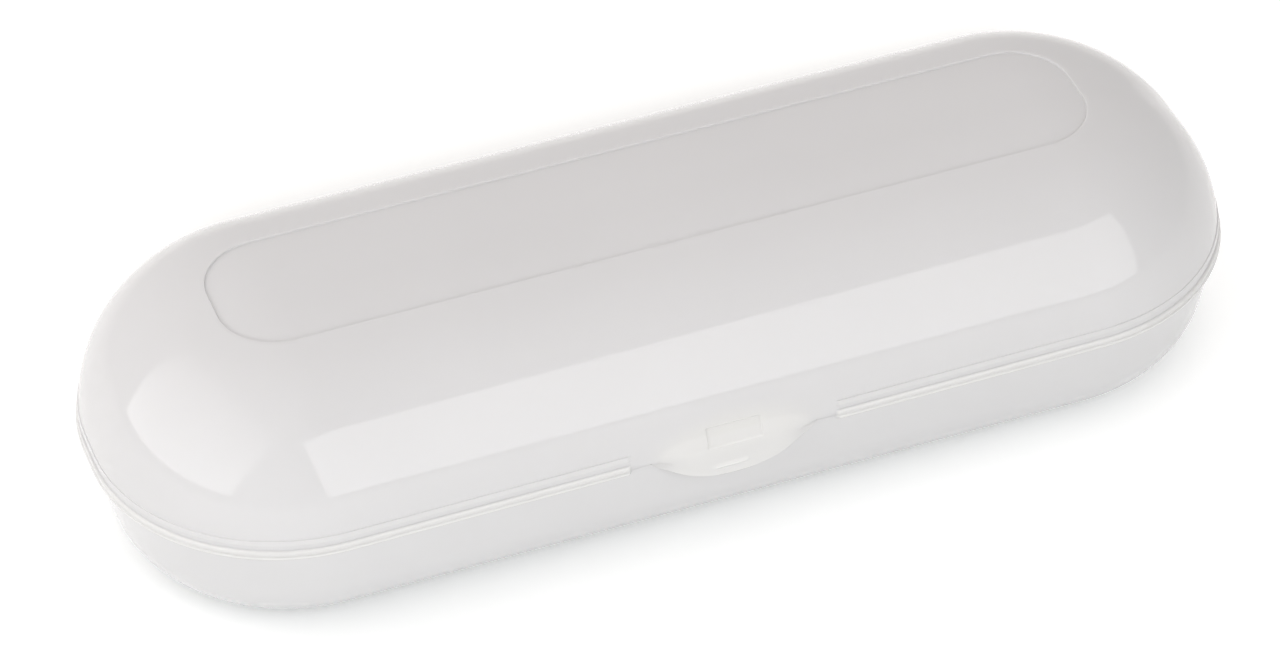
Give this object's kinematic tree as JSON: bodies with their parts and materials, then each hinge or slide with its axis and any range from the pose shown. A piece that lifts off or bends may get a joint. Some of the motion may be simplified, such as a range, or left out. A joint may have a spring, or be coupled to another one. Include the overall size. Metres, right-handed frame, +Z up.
{
  "type": "glasses case",
  "caption": "Long rounded hard case in milky plastic, with a domed lid on a rear pin hinge, a rim bead, a thumb tab in front and a snap latch.",
  "frame": {"origin": "centre of the flat underside of the base, midway between its ends and its long sides", "axes": "+X along the case's length, to the right seen from the latch side; +Y from the latch to the hinge; +Z up through the lid"},
  "size_m": [0.165, 0.0666, 0.0397],
  "materials": {
    "milky_plastic": "glossy injection-moulded polypropylene, milky and slightly translucent",
    "pale_plastic": "semi-gloss moulded polypropylene, pale",
    "pin_steel": "drawn steel wire, cut ends"
  },
  "bodies": {
    "base": {"base_shell": "milky_plastic", "hinge_pin_left": "pin_steel", "hinge_pin_right": "pin_steel"},
    "lid": {"lid_shell": "milky_plastic"},
    "latch": {"latch_tongue": "pale_plastic"}
  },
  "joints": [
    {"name": "lid_hinge", "type": "hinge", "parent": "base", "child": "lid", "pos_m": [0, 0.03295, 0.018], "axis": [-1, 0, 0], "range_deg": [0, 115]},
    {"name": "latch_flex", "type": "hinge", "parent": "base", "child": "latch", "pos_m": [0, -0.02695, 0.0144], "axis": [-1, 0, 0], "range_deg": [0, 8], "stiffness_Nm_per_rad": 0.38}
  ]
}
